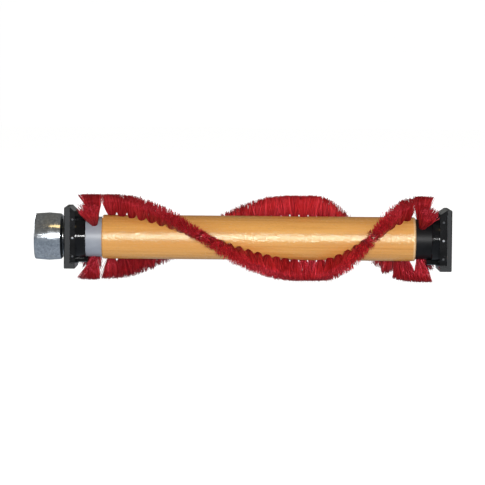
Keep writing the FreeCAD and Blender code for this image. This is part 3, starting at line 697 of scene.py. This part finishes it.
def filament_mesh(name, lines, tones):
    """Thin closed tubes along the centre lines, with each filament's tone and height stored."""
    count, rings, _ = lines.shape
    way = np.gradient(lines, axis=1)
    way /= np.linalg.norm(way, axis=2)[..., None]
    side = np.cross(way, np.array([1.0, 0.0, 0.0]))
    side /= np.linalg.norm(side, axis=2)[..., None]
    other = np.cross(way, side)
    turns = np.arange(SIDES) * 2 * math.pi / SIDES
    ring = (
        side[:, :, None, :] * np.cos(turns)[None, None, :, None]
        + other[:, :, None, :] * np.sin(turns)[None, None, :, None]
    )
    points = lines[:, :, None, :] + ring * FILAMENT_RADIUS
    first = np.arange(count)[:, None, None] * rings * SIDES
    level = np.arange(rings - 1)[None, :, None] * SIDES
    corner = np.arange(SIDES)[None, None, :]
    nearby = (corner + 1) % SIDES
    quads = np.stack([
        first + level + corner, first + level + nearby,
        first + level + SIDES + nearby, first + level + SIDES + corner,
    ], axis=-1).reshape(-1, 4)
    flat = first[:, :, 0] + corner[0]
    tips = flat + (rings - 1) * SIDES
    feet = flat[:, ::-1]
    mesh = bpy.data.meshes.new(name)
    mesh.from_pydata(points.reshape(-1, 3), [], quads.tolist() + tips.tolist() + feet.tolist())
    smooth = np.ones(len(mesh.polygons), bool)
    smooth[len(quads):] = False
    mesh.polygons.foreach_set("use_smooth", smooth)
    mesh.attributes.new("tone", "FLOAT", "POINT").data.foreach_set(
        "value", np.repeat(tones, rings * SIDES).astype(np.float32)
    )
    heights = np.tile(np.repeat(RINGS, SIDES), count)
    mesh.attributes.new("along", "FLOAT", "POINT").data.foreach_set(
        "value", heights.astype(np.float32)
    )
    mesh.update()
    return mesh


def row_directions(axes):
    """The row's direction at each tuft, from its neighbours' tips."""
    tips = np.array([tip for _, tip in axes])
    return np.gradient(tips, axis=0)


def bristle_piece(rng, node, surface, directions, settings, shapes):
    """Replaces a CAD node's plain tufts with filaments; shapes holds those that differ."""
    lines, tones = [], []
    for index, (root, tip) in enumerate(tuft_axes(node)):
        shape = shapes.get(index, (1.0, 0.0))
        found = tuft_filaments(
            rng, root, tip, unit(directions[index]), surface, shape=shape, **settings
        )
        lines.append(found[0])
        tones.append(found[1])
    mesh = filament_mesh(node, np.concatenate(lines), np.concatenate(tones))
    return new_piece(f"{node}_filaments", mesh, node)


def make_bristles():
    rng = np.random.default_rng(SEED)
    for node in ("bristle_row_a", "bristle_row_b"):
        directions = row_directions(tuft_axes(node))
        bristle_piece(rng, node, WOOD_RADIUS, directions, ROW_TUFT, WORN_TUFTS.get(node, {}))
    along_roll = np.array([1.0, 0.0, 0.0])
    for node in ("drive_end_tufts", "idle_end_tufts"):
        axes = tuft_axes(node)
        shapes = {}
        if node == "idle_end_tufts":
            for index, (_, tip) in enumerate(axes):
                slanted = abs(tip[1]) > abs(tip[2]) * SLANT
                shapes[index] = IDLE_SLANTED if slanted else IDLE_UPRIGHT
        bristle_piece(rng, node, CAP_RADIUS, [along_roll] * len(axes), END_TUFT, shapes)


# ---------------------------------------------------------------- stage, light and camera

FLOOR_HALF = 7.0
BACKDROP_RADIUS = 9.0
VIEW_DISTANCE = 2.1
VIEW_ELEVATION = math.radians(3.5)
VIEW_ROLL = math.radians(0.5)
VIEW_WIDTH = 0.3862
SENSOR = 36.0
AIM = Vector((0.0, 0.0, -3.8 * MM))
# The room's light by height: 0 is straight down and 1 straight up.
ROOM = [
    (0.0, (0.36, 0.40, 0.45)),
    (0.38, (0.23, 0.27, 0.315)),
    (0.50, (0.20, 0.205, 0.21)),
    (0.60, (0.13, 0.127, 0.115)),
    (1.0, (0.20, 0.195, 0.18)),
]
# name, place, (width, height), power and colour
LAMPS = [
    ("key", (-0.01, -2.6, 0.24), (0.52, 0.20), 49.0, (1.0, 1.0, 1.0)),
    ("fill", (0.05, -1.8, -0.9), (0.8, 0.8), 4.5, (1.0, 1.0, 1.0)),
    ("warm", (0.05, -1.2, 1.65), (0.40, 0.40), 1.5, (1.0, 0.70, 0.28)),
    ("back_left", (-1.4, 2.3, 0.5), (1.0, 1.0), 30.0, (1.0, 1.0, 1.0)),
    ("back_right", (1.4, 2.3, 0.5), (1.0, 1.0), 30.0, (1.0, 1.0, 1.0)),
    ("side_left", (-2.6, 0.3, 0.7), (1.1, 1.1), 22.0, (1.0, 1.0, 1.0)),
    ("side_right", (2.6, 0.3, 0.7), (1.1, 1.1), 22.0, (1.0, 1.0, 1.0)),
]


def add_stage(name, mesh, material):
    """A floor or backdrop that the camera sees but that neither lights nor mirrors in the part."""
    piece = bpy.data.objects.new(name, mesh)
    scene.collection.objects.link(piece)
    mesh.materials.append(material)
    piece.visible_diffuse = False
    piece.visible_glossy = False
    piece.visible_transmission = False
    piece.visible_shadow = False


def make_stage():
    floor = bpy.data.meshes.new("floor")
    corners = [
        (x * FLOOR_HALF, y * FLOOR_HALF, FLOOR_Z) for x, y in ((-1, -1), (1, -1), (1, 1), (-1, 1))
    ]
    floor.from_pydata(corners, [], [(0, 1, 2, 3)])
    add_stage("floor", floor, glowing_white("white_floor", 0.96, 0.22))
    dome = bpy.data.meshes.new("backdrop")
    work = bmesh.new()
    bmesh.ops.create_uvsphere(work, u_segments=48, v_segments=24, radius=BACKDROP_RADIUS)
    work.to_mesh(dome)
    work.free()
    add_stage("backdrop", dome, glowing_white("white_backdrop", 1.0, 0.02))


def area_light(name, place, size, power, colour):
    """A rectangular lamp aimed at the part. The fill lamp lights it but isn't mirrored in it."""
    data = bpy.data.lights.new(name, "AREA")
    data.shape = "RECTANGLE"
    data.size, data.size_y = size
    data.energy = power
    data.color = colour
    light = bpy.data.objects.new(name, data)
    scene.collection.objects.link(light)
    light.location = place
    light.visible_glossy = name != "fill"
    light.rotation_euler = (-Vector(place)).to_track_quat("-Z", "Y").to_euler()


def make_camera():
    data = bpy.data.cameras.new("camera")
    data.sensor_width = SENSOR
    data.lens = SENSOR * VIEW_DISTANCE / VIEW_WIDTH
    camera = bpy.data.objects.new("camera", data)
    scene.collection.objects.link(camera)
    back = Vector((0, -math.cos(VIEW_ELEVATION), math.sin(VIEW_ELEVATION)))
    camera.location = AIM + back * VIEW_DISTANCE
    level = (-back).to_track_quat("-Z", "Y").to_matrix()
    camera.rotation_euler = (level @ Matrix.Rotation(VIEW_ROLL, 3, "Z")).to_euler()
    scene.camera = camera


def make_light():
    """A dim room, warm above and cool below, with lamps in front, behind and at the sides."""
    world = bpy.data.worlds.new("studio")
    world.use_nodes = True
    tree = world.node_tree
    place = tree.nodes.new("ShaderNodeTexCoord").outputs["Generated"]
    split = tree.nodes.new("ShaderNodeSeparateXYZ")
    tree.links.new(place, split.inputs["Vector"])
    level = tree.nodes.new("ShaderNodeMapRange")
    level.inputs["From Min"].default_value = -1.0
    tree.links.new(split.outputs["Z"], level.inputs["Value"])
    ramp = tree.nodes.new("ShaderNodeValToRGB")
    tree.links.new(level.outputs["Result"], ramp.inputs["Fac"])
    points = ramp.color_ramp.elements
    while len(points) < len(ROOM):
        points.new(0.5)
    for point, (position, colour) in zip(points, ROOM):
        point.position = position
        point.color = (*colour, 1.0)
    tree.links.new(ramp.outputs["Color"], tree.nodes["Background"].inputs["Color"])
    scene.world = world
    for name, place, size, power, colour in LAMPS:
        area_light(name, place, size, power, colour)
    scene.view_settings.view_transform = "Standard"


# ---------------------------------------------------------------- assembly

for name, obj in nodes.items():
    paint(obj, name)

make_camera()
make_stage()
make_light()
make_bristles()
for name, width in EDGES.items():
    softened(name, width)
finish_block("drive_support_block",
             DRIVE_FACE_X, DRIVE_FACE_X + DRIVE_PLATE, DRIVE_FACE_X + DRIVE_BLOCK)
finish_block("idle_support_block",
             IDLE_FACE_X, IDLE_FACE_X - IDLE_PLATE, IDLE_FACE_X - IDLE_BLOCK)

bpy.context.view_layer.update()
